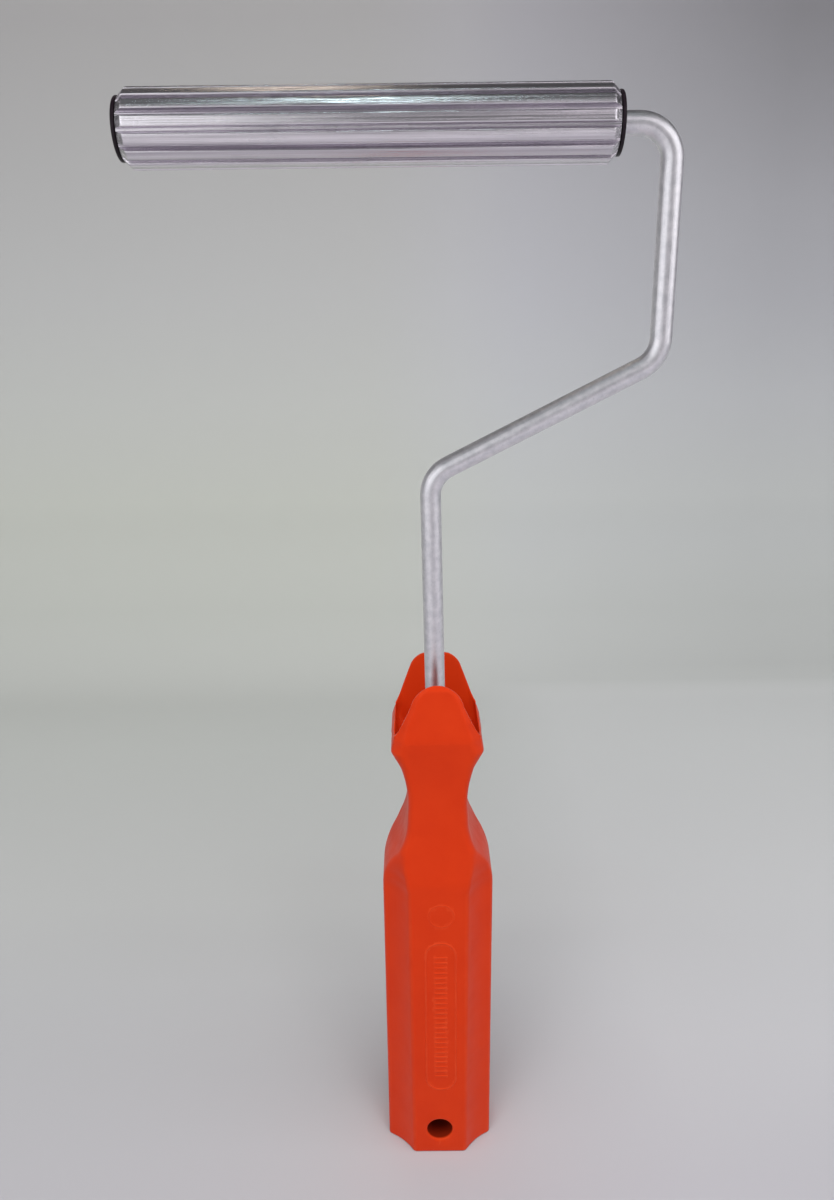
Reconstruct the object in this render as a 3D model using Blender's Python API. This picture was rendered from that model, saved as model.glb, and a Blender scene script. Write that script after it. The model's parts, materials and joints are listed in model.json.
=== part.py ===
"""Ribbed laminating roller: an aluminium ribbed tube that spins on a bent wire frame with a moulded handle.

Units are metres, +Z is up. The tool stands on the butt of its handle, whose centre is the origin.
+X runs along the roller, away from its free end, and the handle's front face looks along -Y.
"""
from math import atan2, cos, pi, sin, tan

import bmesh
import bpy
from mathutils import Vector

# --- driving dimensions -------------------------------------------------------------------------
GAP = 0.0003                   # clearance between touching pieces

ROLLER_LENGTH = 0.1408         # aluminium tube
ROLLER_RADIUS = 0.01095        # over the rib crests
ROLLER_HEIGHT = 0.3601         # roller axis above the butt
ROLLER_CENTRE_X = -0.0180
RIB_COUNT = 14
RIB_HEIGHT = 0.0021
RIB_CREST_SHARE = 0.66         # crest width as a share of the rib spacing
RIB_FLOOR_SHARE = 0.22         # groove floor width as a share of the rib spacing
RIB_PHASE = -0.081             # turn of the rib pattern at rest, in radians
RIB_CHAMFER = 0.0021           # length of the chamfer at each rib end
CHAMFER_STEP = 0.00005         # the chamfers end this far above the groove floors
TUBE_BORE_RADIUS = 0.0073

FLANGE_RADIUS = 0.0088
FLANGE_THICKNESS = 0.0014
SPIGOT_LENGTH = 0.0140
RECESS_RADIUS = 0.0058         # pocket in the bush's outer face for the washer
RECESS_DEPTH = 0.0030

ROD_RADIUS = 0.00336
ROD_BEND_RADIUS = 0.0102       # at the wire's centre line
UPRIGHT_X = 0.0692             # the upright beside the roller
LEG_LEAN = 0.0157              # the lower leg leans this much per unit height, towards -X
LEG_BASE_Z = 0.1600            # where the lower leg's centre line crosses the handle's centre plane
LEG_TOP_Z = 0.2587             # corner between the lower leg and the diagonal
DIAGONAL_SLOPE = 0.5018        # rise per unit run
TAIL_Z = 0.0960                # the wire's lower end, inside the handle
SWAGE_LENGTH = 0.0140          # flattened stretch that stops the wire turning in the handle
SWAGE_WIDE = 0.0042
SWAGE_THIN = 0.0022
SWAGE_SHOULDER = 0.0040        # taper between the flattened stretch and the round wire
ROD_TIP_OVERHANG = 0.0004      # the wire's far end stands this far out of the left washer

WASHER_RADIUS = 0.0054
WASHER_THICKNESS = 0.0009

BODY_HALF_WIDTH = 0.0195
BODY_HALF_DEPTH = 0.0175
HEAD_RIDGE_Z = 0.1728          # ridge across the front of the head
HANDLE_TOP_Z = 0.1930          # crest of the lobes
COLLAR_TOP_Z = 0.1736          # top of the low side walls between the lobes
LOBE_INNER_Y = 0.0147          # the lobes' inner faces
POCKET_FLOOR_Z = 0.1500        # floor of the hollow head, where the wire enters
HOLE_RADIUS = 0.00475
HOLE_HEIGHT = 0.0108
CUTTER_MARGIN = 0.010          # how far cutting shapes run past the handle

# --- tessellation -------------------------------------------------------------------------------
ROUND_SIDES = 48
ROD_SIDES = 20
HOLE_SIDES = 32
BEND_STEPS = 7
COVE_STEPS = 8


# --- scene and mesh helpers ---------------------------------------------------------------------
def clear_scene():
    for item in list(bpy.data.objects):
        bpy.data.objects.remove(item, do_unlink=True)


def make_material(name, color, roughness, metallic):
    material = bpy.data.materials.new(name)
    material.use_nodes = True
    shader = material.node_tree.nodes["Principled BSDF"]
    shader.inputs["Base Color"].default_value = (*color, 1.0)
    shader.inputs["Roughness"].default_value = roughness
    shader.inputs["Metallic"].default_value = metallic
    return material


def add_object(name, mesh, material=None, smooth_angle=None):
    item = bpy.data.objects.new(name, mesh)
    bpy.context.scene.collection.objects.link(item)
    if material:
        mesh.materials.append(material)
    if smooth_angle:
        mesh.shade_smooth()
        mesh.set_sharp_from_angle(angle=smooth_angle)
    return item


def mesh_from(bm, name):
    bmesh.ops.recalc_face_normals(bm, faces=bm.faces)
    mesh = bpy.data.meshes.new(name)
    bm.to_mesh(mesh)
    bm.free()
    return mesh


def loft(rings, name, closed=False):
    """Skin a list of rings with the same number of points. Open lofts get flat end caps."""
    bm = bmesh.new()
    verts = [[bm.verts.new(point) for point in ring] for ring in rings]
    pairs = list(zip(verts, verts[1:]))
    if closed:
        pairs.append((verts[-1], verts[0]))
    for low, high in pairs:
        for i in range(len(low)):
            j = (i + 1) % len(low)
            bm.faces.new((low[i], low[j], high[j], high[i]))
    if not closed:
        bm.faces.new(verts[0])
        bm.faces.new(verts[-1])
    return mesh_from(bm, name)


def cut(target, cutter_mesh):
    """Apply a Boolean difference with a wire cutter to the target's mesh."""
    cutter = add_object("cutter", cutter_mesh)
    cutter.hide_render = True
    cutter.display_type = "WIRE"
    modifier = target.modifiers.new("cut", "BOOLEAN")
    modifier.object = cutter
    modifier.operation = "DIFFERENCE"
    evaluated = target.evaluated_get(bpy.context.evaluated_depsgraph_get())
    result = bpy.data.meshes.new_from_object(evaluated)
    target.modifiers.clear()
    target.data = result
    bpy.data.objects.remove(cutter, do_unlink=True)


def circle(radius, count, start=0.0):
    angles = [start + 2 * pi * i / count for i in range(count)]
    return [(radius * cos(angle), radius * sin(angle)) for angle in angles]


def arc_through(start, end, sag, steps):
    """Points on an arc from start to end that bulges by sag to the right of the direction of travel."""
    start, end = Vector(start), Vector(end)
    chord = end - start
    half = chord.length / 2
    radius = (half * half + sag * sag) / (2 * abs(sag))
    side = Vector((chord.y, -chord.x)).normalized() * (1 if sag > 0 else -1)
    centre = (start + end) / 2 + side * (abs(sag) - radius)
    first = atan2(start.y - centre.y, start.x - centre.x)
    sweep = 2 * atan2(half, radius - abs(sag)) * (1 if sag > 0 else -1)
    return [
        (centre.x + radius * cos(first + sweep * i / steps), centre.y + radius * sin(first + sweep * i / steps))
        for i in range(steps + 1)
    ]


# --- wire path ----------------------------------------------------------------------------------
def rod_corners():
    """Corner points of the wire's centre line, from its tail in the handle to its tip in the roller."""
    leg_x = -LEG_LEAN * (LEG_TOP_Z - LEG_BASE_Z)
    tail_x = LEG_LEAN * (LEG_BASE_Z - TAIL_Z)
    upright_foot_z = LEG_TOP_Z + DIAGONAL_SLOPE * (UPRIGHT_X - leg_x)
    return [
        Vector((tail_x, 0, TAIL_Z)),
        Vector((leg_x, 0, LEG_TOP_Z)),
        Vector((UPRIGHT_X, 0, upright_foot_z)),
        Vector((UPRIGHT_X, 0, ROLLER_HEIGHT)),
        Vector((rod_tip_x(), 0, ROLLER_HEIGHT)),
    ]


def rod_tip_x():
    recess_floor = ROLLER_CENTRE_X - ROLLER_LENGTH / 2 - FLANGE_THICKNESS + RECESS_DEPTH
    return recess_floor - GAP - WASHER_THICKNESS - ROD_TIP_OVERHANG


def rounded_path(corners, radius, steps):
    """Centre line with each inner corner replaced by an arc."""
    path = [corners[0]]
    for before, corner, after in zip(corners, corners[1:], corners[2:]):
        into, out = (corner - before).normalized(), (after - corner).normalized()
        turn = into.angle(out)
        tangent = radius * tan(turn / 2)
        centre = corner + (out - into).normalized() * (radius / cos(turn / 2))
        start = corner - into * tangent - centre
        end = corner + out * tangent - centre
        for i in range(steps + 1):
            part = turn * i / steps
            path.append(centre + (start * sin(turn - part) + end * sin(part)) / sin(turn))
    path.append(corners[-1])
    return path


def swept_ring(path, index, wide, thin, sides):
    """Ellipse across the path at one of its points; wide lies in the XZ plane, thin along Y."""
    here = path[index]
    before = path[max(index - 1, 0)]
    after = path[min(index + 1, len(path) - 1)]
    tangent = ((here - before).normalized() + (after - here).normalized()).normalized()
    across = tangent.cross(Vector((0, 1, 0)))
    return [
        here + across * wide * cos(2 * pi * i / sides) + Vector((0, 1, 0)) * thin * sin(2 * pi * i / sides)
        for i in range(sides)
    ]


def tail_stations():
    """Distances along the straight tail, with the wire's two half widths there."""
    return [
        (0.0, SWAGE_WIDE, SWAGE_THIN),
        (SWAGE_LENGTH, SWAGE_WIDE, SWAGE_THIN),
        (SWAGE_LENGTH + SWAGE_SHOULDER, ROD_RADIUS, ROD_RADIUS),
    ]


def rod_mesh():
    corners = rod_corners()
    path = rounded_path(corners, ROD_BEND_RADIUS, BEND_STEPS)
    up = (corners[1] - corners[0]).normalized()
    stations = tail_stations()
    path[:1] = [corners[0] + up * distance for distance, _, _ in stations]
    sizes = [(wide, thin) for _, wide, thin in stations]
    sizes += [(ROD_RADIUS, ROD_RADIUS)] * (len(path) - len(sizes))
    rings = [swept_ring(path, i, wide, thin, ROD_SIDES) for i, (wide, thin) in enumerate(sizes)]
    return loft(rings, "frame_rod")


def socket_mesh():
    """The wire's own shape grown by the gap, from below its tail to above the handle's head."""
    corners = rod_corners()
    up = (corners[1] - corners[0]).normalized()
    stations = [(distance, wide + GAP, thin + GAP) for distance, wide, thin in tail_stations()]
    stations[0] = (-GAP, SWAGE_WIDE + GAP, SWAGE_THIN + GAP)
    stations.append((HANDLE_TOP_Z + CUTTER_MARGIN - TAIL_Z, ROD_RADIUS + GAP, ROD_RADIUS + GAP))
    path = [corners[0] + up * distance for distance, _, _ in stations]
    rings = [swept_ring(path, i, wide, thin, ROD_SIDES) for i, (_, wide, thin) in enumerate(stations)]
    return loft(rings, "socket")


# --- roller -------------------------------------------------------------------------------------
def rib_ring(x, crest_radius):
    """Ribbed outline at x. The crest radius falls at the chamfered ends."""
    floor_radius = ROLLER_RADIUS - RIB_HEIGHT
    pitch = 2 * pi / RIB_COUNT
    crest, floor = RIB_CREST_SHARE * pitch / 2, RIB_FLOOR_SHARE * pitch / 2
    points = []
    for rib in range(RIB_COUNT):
        middle = rib * pitch + RIB_PHASE
        for angle, radius in (
            (-pitch / 2, floor_radius),
            (-pitch / 2 + floor, floor_radius),
            (-crest, crest_radius),
            (0.0, crest_radius),
            (crest, crest_radius),
            (pitch / 2 - floor, floor_radius),
        ):
            points.append(Vector((x, radius * cos(middle + angle), ROLLER_HEIGHT + radius * sin(middle + angle))))
    return points


def round_ring(x, radius, count, start=0.0):
    return [Vector((x, y, ROLLER_HEIGHT + z)) for y, z in circle(radius, count, start)]


def tube_mesh():
    """The ribbed tube, as one closed ring of rings: outside along +X, then back through the bore."""
    left = ROLLER_CENTRE_X - ROLLER_LENGTH / 2
    right = ROLLER_CENTRE_X + ROLLER_LENGTH / 2
    end_radius = ROLLER_RADIUS - RIB_HEIGHT + CHAMFER_STEP
    rings = [
        rib_ring(left, end_radius),
        rib_ring(left + RIB_CHAMFER, ROLLER_RADIUS),
        rib_ring(right - RIB_CHAMFER, ROLLER_RADIUS),
        rib_ring(right, end_radius),
    ]
    first_angle = RIB_PHASE - pi / RIB_COUNT
    rings += [round_ring(x, TUBE_BORE_RADIUS, len(rings[0]), first_angle) for x in (right, left)]
    return loft(rings, "roller_tube", closed=True)


def turned(profile, name):
    """Body of revolution about the roller axis from a closed profile of (x, radius) points."""
    rings = [round_ring(x, radius, ROUND_SIDES) for x, radius in profile]
    return loft(rings, name, closed=True)


def bush_mesh(side, name):
    """Flanged bush: flange against the tube's end, spigot in the bore, washer recess in its outer face."""
    end = ROLLER_CENTRE_X + side * ROLLER_LENGTH / 2
    profile = [
        (FLANGE_THICKNESS, RECESS_RADIUS),
        (FLANGE_THICKNESS, FLANGE_RADIUS),
        (GAP, FLANGE_RADIUS),
        (GAP, TUBE_BORE_RADIUS - GAP),
        (-SPIGOT_LENGTH, TUBE_BORE_RADIUS - GAP),
        (-SPIGOT_LENGTH, ROD_RADIUS + GAP),
        (FLANGE_THICKNESS - RECESS_DEPTH, ROD_RADIUS + GAP),
        (FLANGE_THICKNESS - RECESS_DEPTH, RECESS_RADIUS),
    ]
    return turned([(end + side * x, radius) for x, radius in profile], name)


def washer_mesh(side, name):
    """Push-on retaining washer against the floor of the bush's recess."""
    floor = ROLLER_CENTRE_X + side * (ROLLER_LENGTH / 2 + FLANGE_THICKNESS - RECESS_DEPTH)
    inner, outer = floor + side * GAP, floor + side * (GAP + WASHER_THICKNESS)
    hole = ROD_RADIUS + GAP
    return turned([(inner, hole), (inner, WASHER_RADIUS), (outer, WASHER_RADIUS), (outer, hole)], name)


# --- handle -------------------------------------------------------------------------------------
def side_outline():
    """Half width against height: body, shoulder, waist, flared head and the rounded top of a lobe."""
    shoulder_low = arc_through((BODY_HALF_WIDTH, 0.1140), (0.0160, 0.1262), 0.0009, 6)
    shoulder_high = arc_through((0.0160, 0.1262), (0.0104, 0.1440), -0.0016, 6)
    waist = arc_through((0.0104, 0.1440), (0.0124, 0.1630), -0.0011, 6)
    head = [(0.0156, 0.1686), (0.0153, 0.1700), (0.0146, COLLAR_TOP_Z), (0.0138, 0.1750), (0.0129, 0.1767)]
    crown = arc_through((0.0088, 0.1866), (0.0012, HANDLE_TOP_Z), 0.0014, 8)
    return [(BODY_HALF_WIDTH, 0.0), *shoulder_low, *shoulder_high[1:], *waist[1:], *head, *crown]


def front_outline():
    """Half depth against height: body, slightly thinner waist, ridge across the head, lobe leaning back."""
    waist = arc_through((BODY_HALF_DEPTH, 0.1180), (0.0165, 0.1600), -0.0008, 6)
    lobe_top = arc_through((0.0163, 0.1902), (0.0153, HANDLE_TOP_Z), 0.0004, 3)
    return [(BODY_HALF_DEPTH, 0.0), *waist, (0.0176, HEAD_RIDGE_Z), *lobe_top]


def corner_stations():
    """How the four long corners change with height: height, cut along X, cut along Y, hollow (-) or round (+)."""
    return [
        (0.0000, 0.0097, 0.0090, -0.0010),
        (0.1150, 0.0092, 0.0088, -0.0010),
        (0.1200, 0.0078, 0.0078, -0.0006),
        (0.1250, 0.0051, 0.0054, 0.0000),
        (0.1285, 0.0031, 0.0033, 0.0003),
        (0.1304, 0.0021, 0.0021, 0.0005),
        (0.1600, 0.0021, 0.0021, 0.0006),
        (HEAD_RIDGE_Z, 0.0036, 0.0036, 0.0003),
        (0.1760, 0.0024, 0.0024, 0.0003),
        (0.1800, 0.0014, 0.0014, 0.0003),
        (0.1870, 0.0010, 0.0010, 0.0003),
        (HANDLE_TOP_Z, 0.0005, 0.0005, 0.0001),
    ]


def value_at(height, heights, values):
    """Straight-line interpolation between stations."""
    for low_z, high_z, low, high in zip(heights, heights[1:], values, values[1:]):
        if height <= high_z:
            return low + (high - low) * (height - low_z) / (high_z - low_z)
    return values[-1]


def handle_ring(height):
    """Horizontal outline of the handle at one height, with its four hollow or rounded corners."""
    widths, width_heights = zip(*side_outline())
    depths, depth_heights = zip(*front_outline())
    heights, cuts_x, cuts_y, bulges = zip(*corner_stations())
    width = value_at(height, width_heights, widths)
    depth = value_at(height, depth_heights, depths)
    cut_x = value_at(height, heights, cuts_x)
    cut_y = value_at(height, heights, cuts_y)
    bulge = value_at(height, heights, bulges) or 1e-6
    corner = arc_through((width, depth - cut_y), (width - cut_x, depth), bulge, COVE_STEPS)
    ring = corner + [(-x, y) for x, y in reversed(corner)]
    ring += [(-x, -y) for x, y in ring]
    return [Vector((x, y, height)) for x, y in ring]


def pocket_mesh():
    """The hollow inside the head. Above the side walls it is wider than the head, which leaves the two lobes."""
    wall_top = COLLAR_TOP_Z + 0.0001
    above = HANDLE_TOP_Z + CUTTER_MARGIN
    rings = []
    for height, width, depth, corner in (
        (POCKET_FLOOR_Z, 0.0072, 0.0126, 0.0020),
        (0.1600, 0.0090, 0.0134, 0.0022),
        (0.1690, 0.0144, 0.0144, 0.0024),
        (COLLAR_TOP_Z, 0.0141, LOBE_INNER_Y, 0.0024),
        (wall_top, 0.0160, LOBE_INNER_Y, 0.0024),
        (above, 0.0200, LOBE_INNER_Y, 0.0024),
    ):
        sag = corner * (1 - cos(pi / 4))
        quarter = arc_through((width, depth - corner), (width - corner, depth), sag, 4)
        ring = quarter + [(-x, y) for x, y in reversed(quarter)]
        rings.append([Vector((x, y, height)) for x, y in ring + [(-x, -y) for x, y in ring]])
    return loft(rings, "pocket")


def hole_mesh():
    """Hanging hole, through the handle along Y."""
    reach = BODY_HALF_DEPTH + CUTTER_MARGIN
    outline = circle(HOLE_RADIUS, HOLE_SIDES)
    return loft([[Vector((x, y, HOLE_HEIGHT + z)) for x, z in outline] for y in (-reach, reach)], "hole")


def build_handle(material):
    heights = [z for _, z in side_outline() + front_outline()] + [station[0] for station in corner_stations()]
    levels = sorted({round(z, 5) for z in heights})
    handle = add_object("handle", loft([handle_ring(z) for z in levels], "handle"))
    for cutter in (pocket_mesh(), hole_mesh(), socket_mesh()):
        cut(handle, cutter)
    handle.data.materials.clear()
    handle.data.materials.append(material)
    handle.data.shade_smooth()
    handle.data.set_sharp_from_angle(angle=0.45)
    return handle


# --- assembly -----------------------------------------------------------------------------------
def main():
    clear_scene()
    orange = make_material("orange_plastic", (0.58, 0.035, 0.008), 0.42, 0.0)
    black = make_material("black_plastic", (0.012, 0.010, 0.014), 0.45, 0.0)
    zinc = make_material("zinc_plated_steel", (0.62, 0.62, 0.64), 0.35, 1.0)
    spring = make_material("spring_steel", (0.45, 0.45, 0.46), 0.35, 1.0)
    aluminium = make_material("aluminium", (0.80, 0.80, 0.81), 0.30, 1.0)

    build_handle(orange)
    add_object("frame_rod", rod_mesh(), zinc, 0.7)
    add_object("left_retaining_washer", washer_mesh(-1, "left_retaining_washer"), spring, 0.6)
    add_object("right_retaining_washer", washer_mesh(1, "right_retaining_washer"), spring, 0.6)

    axis = bpy.data.objects.new("roller_axis", None)
    axis.location = (ROLLER_CENTRE_X, 0.0, ROLLER_HEIGHT)
    bpy.context.scene.collection.objects.link(axis)
    spinning = [
        add_object("roller_tube", tube_mesh(), aluminium, 0.5),
        add_object("left_end_bush", bush_mesh(-1, "left_end_bush"), black, 0.6),
        add_object("right_end_bush", bush_mesh(1, "right_end_bush"), black, 0.6),
    ]
    bpy.context.view_layer.update()
    for item in spinning:
        item.parent = axis
        item.matrix_parent_inverse = axis.matrix_world.inverted()


main()
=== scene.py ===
"""Looks of the ribbed hand roller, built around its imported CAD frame.

Each CAD node is replaced by a finer mesh of the same size: rounded edges, a hollow head with thin lobes,
ribs with softened crests. Units are metres in the part's own frame: +Z up, the handle's front faces -Y,
the roller lies along X.
"""
import json
from math import atan2, cos, pi, sin, tan

import bmesh
import bpy
import numpy as np
from mathutils import Matrix, Vector


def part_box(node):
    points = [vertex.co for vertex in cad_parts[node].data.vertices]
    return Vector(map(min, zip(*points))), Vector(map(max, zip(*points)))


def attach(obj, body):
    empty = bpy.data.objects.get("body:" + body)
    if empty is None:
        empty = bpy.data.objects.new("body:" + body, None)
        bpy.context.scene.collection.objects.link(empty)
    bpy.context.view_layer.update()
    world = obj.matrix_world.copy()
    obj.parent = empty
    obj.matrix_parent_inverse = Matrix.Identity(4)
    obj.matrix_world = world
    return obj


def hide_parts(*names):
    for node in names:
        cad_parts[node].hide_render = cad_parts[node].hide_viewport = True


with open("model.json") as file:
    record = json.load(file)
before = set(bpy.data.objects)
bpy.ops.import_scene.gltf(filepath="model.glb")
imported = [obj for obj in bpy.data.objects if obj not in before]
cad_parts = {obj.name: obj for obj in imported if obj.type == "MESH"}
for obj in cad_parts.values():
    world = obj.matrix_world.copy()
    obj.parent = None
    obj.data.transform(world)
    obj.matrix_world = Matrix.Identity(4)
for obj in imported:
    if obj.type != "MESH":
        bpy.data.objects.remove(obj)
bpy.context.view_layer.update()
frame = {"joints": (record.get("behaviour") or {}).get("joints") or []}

# --- sizes read from the frame ------------------------------------------------------------------
GAP = 0.0003                                   # clearance that the CAD leaves between touching pieces
TUBE_LOW, TUBE_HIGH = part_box("roller_tube")
ROD_LOW, ROD_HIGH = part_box("frame_rod")
HANDLE_BACK_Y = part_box("handle")[1].y
BUSH_LOW, BUSH_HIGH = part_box("left_end_bush")
WASHER_LOW, WASHER_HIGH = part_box("left_retaining_washer")
AXIS_POINT = Vector(next(j for j in frame["joints"] if j["name"] == "roller_spin")["pos_m"])

TUBE_RADIUS = (TUBE_HIGH.z - TUBE_LOW.z) / 2
ROD_RADIUS = (ROD_HIGH.y - ROD_LOW.y) / 2
UPRIGHT_X = ROD_HIGH.x - ROD_RADIUS
FLANGE_RADIUS = (BUSH_HIGH.z - BUSH_LOW.z) / 2
FLANGE_THICKNESS = TUBE_LOW.x - BUSH_LOW.x
SPIGOT_LENGTH = BUSH_HIGH.x - TUBE_LOW.x
WASHER_RADIUS = (WASHER_HIGH.z - WASHER_LOW.z) / 2
WASHER_THICKNESS = WASHER_HIGH.x - WASHER_LOW.x

# --- roller -------------------------------------------------------------------------------------
RIB_COUNT = 14
RIB_HEIGHT = 0.0021
CREST_SHARE = 0.66             # crest width as a share of the rib spacing
FLOOR_SHARE = 0.22             # groove floor width as a share of the rib spacing
RIB_PHASE = -0.081             # turn of the rib pattern at rest, in radians
RIB_CHAMFER = 0.0021           # length of the chamfer at each rib end
BORE_RADIUS = 0.0073
RECESS_RADIUS = 0.0058         # pocket in the bush's outer face for the washer
RECESS_DEPTH = 0.0030

# --- wire ---------------------------------------------------------------------------------------
BEND_RADIUS = 0.0102
LEG_LEAN = 0.0157              # the lower leg leans this much per unit height, towards -X
LEG_BASE_Z = 0.1600            # where the lower leg's centre line crosses the handle's centre plane
LEG_TOP_Z = 0.2587             # corner between the lower leg and the diagonal
DIAGONAL_SLOPE = 0.5018        # rise per unit run
TAIL_Z = 0.0960
SWAGE_LENGTH = 0.0140
SWAGE_WIDE = 0.0042
SWAGE_THIN = 0.0022
SWAGE_SHOULDER = 0.0040

# --- handle -------------------------------------------------------------------------------------
BODY_HALF_WIDTH = 0.0195
BODY_HALF_DEPTH = 0.0175
RIDGE_Z = 0.1728               # ridge across the front of the head
TOP_Z = 0.1930                 # crest of the lobes
COLLAR_TOP_Z = 0.1736          # top of the low side walls between the lobes
LOBE_INNER_Y = 0.0147
POCKET_FLOOR_Z = 0.1500
BUTT_ROUNDING = 0.0006
EDGE_ROUNDING = 0.0009         # along the long edges between flats and hollows
LIP = 0.0003                   # rounding of the thin rim of the head
LOBE_CREASE = 0.016            # slope of a lobe's face away from its centre line
HOLE_RADIUS = 0.00475
HOLE_HEIGHT = 0.0108

# Columns in a quarter of the handle's ring: half the front flat, one corner, half the side.
FLAT_COLUMNS = 26
CORNER_COLUMNS = 16
SIDE_COLUMNS = 14


# --- mesh helpers -------------------------------------------------------------------------------
def clean_mesh(mesh):
    """Weld doubles and point every normal outwards."""
    bm = bmesh.new()
    bm.from_mesh(mesh)
    bmesh.ops.remove_doubles(bm, verts=bm.verts, dist=1e-6)
    bmesh.ops.recalc_face_normals(bm, faces=bm.faces)
    bm.to_mesh(mesh)
    bm.free()


def skin(name, rings, wrap=False):
    """Quads between rings of equal length. Unless the rings wrap round to the first, both ends get a cap."""
    rings = np.asarray(rings, float)
    rows, count = rings.shape[:2]
    index = np.arange(rows * count).reshape(rows, count)
    beside = np.roll(index, -1, axis=1)
    faces = []
    for low in range(rows if wrap else rows - 1):
        high = (low + 1) % rows
        faces += np.stack([index[low], beside[low], beside[high], index[high]], axis=1).tolist()
    if not wrap:
        faces += [index[0].tolist(), index[-1].tolist()]
    mesh = bpy.data.meshes.new(name)
    mesh.from_pydata(rings.reshape(-1, 3).tolist(), [], faces)
    clean_mesh(mesh)
    return mesh


def add_object(name, mesh):
    item = bpy.data.objects.new(name, mesh)
    bpy.context.scene.collection.objects.link(item)
    return item


def add_piece(name, mesh, material, body, node, sharp_angle=0.75):
    """A finished piece that stands for one CAD node."""
    item = add_object(name, mesh)
    mesh.materials.clear()
    mesh.materials.append(material)
    mesh.shade_smooth()
    mesh.set_sharp_from_angle(angle=sharp_angle)
    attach(item, body)
    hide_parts(node)
    return item


def boolean(mesh, other_mesh, operation):
    """The mesh joined with, or cut by, another closed mesh."""
    target, tool = add_object("boolean_target", mesh), add_object("boolean_tool", other_mesh)
    modifier = target.modifiers.new("boolean", "BOOLEAN")
    modifier.object = tool
    modifier.operation = operation
    result = bpy.data.meshes.new_from_object(target.evaluated_get(bpy.context.evaluated_depsgraph_get()))
    for item in (target, tool):
        bpy.data.objects.remove(item, do_unlink=True)
    result.name = mesh.name
    return result


def arc_through(start, end, sag, steps):
    """Points on an arc from start to end that bulges by sag to the right of the direction of travel."""
    start, end = Vector(start), Vector(end)
    chord = end - start
    half = chord.length / 2
    radius = (half * half + sag * sag) / (2 * abs(sag))
    turn = 1 if sag > 0 else -1
    side = Vector((chord.y, -chord.x)).normalized() * turn
    centre = (start + end) / 2 + side * (abs(sag) - radius)
    first = atan2(start.y - centre.y, start.x - centre.x)
    sweep = 2 * atan2(half, radius - abs(sag)) * turn
    angles = [first + sweep * i / steps for i in range(steps + 1)]
    return [(centre.x + radius * cos(angle), centre.y + radius * sin(angle)) for angle in angles]


def rounded_loop(points, radius, steps=4):
    """A closed outline with every corner replaced by a small curve."""
    points = [np.asarray(p, float) for p in points]
    loop = []
    for before, corner, after in zip(points[-1:] + points[:-1], points, points[1:] + points[:1]):
        reach = min(radius, np.linalg.norm(corner - before) / 2.01, np.linalg.norm(after - corner) / 2.01)
        start = corner + (before - corner) / np.linalg.norm(before - corner) * reach
        end = corner + (after - corner) / np.linalg.norm(after - corner) * reach
        for t in np.linspace(0, 1, steps + 1):
            loop.append((1 - t) ** 2 * start + 2 * t * (1 - t) * corner + t * t * end)
    return np.array(loop)


def resample(path, count):
    """The path again, with evenly spaced points."""
    path = np.asarray(path, float)
    along = np.concatenate([[0], np.cumsum(np.linalg.norm(np.diff(path, axis=0), axis=1))])
    wanted = np.linspace(0, along[-1], count)
    return np.stack([np.interp(wanted, along, path[:, i]) for i in range(path.shape[1])], axis=1)


def at_height(height, stations, soften=0.0):
    """Value between stations of (height, value), with the corners of that line rounded over a reach."""
    heights, values = zip(*stations)
    reach = np.linspace(-soften, soften, 7)
    return float(np.mean(np.interp(height + reach, heights, values)))


# --- handle -------------------------------------------------------------------------------------
def front_lobe_outline():
    """Right half of the front lobe seen from the front: (half width, height) from the collar to the crest."""
    flank = [(0.0153, 0.1700), (0.0146, COLLAR_TOP_Z), (0.0138, 0.1750), (0.0127, 0.1767)]
    crown = arc_through((0.0087, 0.1852), (0.0010, 0.1927), 0.0017, 24)
    return flank + crown + [(0.0, 0.1927)]


def back_lobe_outline():
    """The same for the back lobe, which is a little wider and squarer."""
    flank = arc_through((0.0156, 0.1700), (0.0129, 0.1768), 0.0002, 8)
    crown = arc_through((0.0088, 0.1882), (0.0046, 0.1923), 0.0006, 12)
    top = arc_through((0.0045, 0.1922), (0.0, TOP_Z), 0.0002, 8)
    return flank + crown + top[1:]


def width_stations(outline):
    shoulder_low = arc_through((BODY_HALF_WIDTH, 0.1140), (0.0160, 0.1262), 0.0009, 12)
    shoulder_high = arc_through((0.0160, 0.1262), (0.0104, 0.1440), -0.0016, 12)
    waist = arc_through((0.0104, 0.1440), (0.0124, 0.1630), -0.0011, 12)
    points = [(BODY_HALF_WIDTH, 0.0), *shoulder_low, *shoulder_high[1:], *waist[1:], (0.0156, 0.1686)]
    return [(z, w) for w, z in points + outline[:-1]]


def depth_stations():
    waist = arc_through((BODY_HALF_DEPTH, 0.1180), (0.0165, 0.1600), -0.0008, 12)
    points = [(BODY_HALF_DEPTH, 0.0), *waist, (0.0176, RIDGE_Z), (0.0163, 0.1902), (0.0161, TOP_Z)]
    return [(z, d) for d, z in points]


# How the four long corners change with height: height, cut along X, cut along Y, hollow (-) or round (+).
CORNERS = [
    (0.0000, 0.0097, 0.0090, -0.0010),
    (0.1150, 0.0092, 0.0088, -0.0010),
    (0.1200, 0.0078, 0.0078, -0.0006),
    (0.1250, 0.0051, 0.0054, 0.0000),
    (0.1285, 0.0031, 0.0033, 0.0003),
    (0.1304, 0.0021, 0.0021, 0.0005),
    (0.1600, 0.0021, 0.0021, 0.0006),
    (RIDGE_Z, 0.0036, 0.0036, 0.0003),
    (0.1760, 0.0024, 0.0024, 0.0003),
    (0.1800, 0.0014, 0.0014, 0.0003),
    (0.1870, 0.0010, 0.0010, 0.0003),
    (TOP_Z, 0.0006, 0.0006, 0.0001),
]
DEPTHS = depth_stations()
CUTS_X = [(row[0], row[1]) for row in CORNERS]
CUTS_Y = [(row[0], row[2]) for row in CORNERS]
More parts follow.
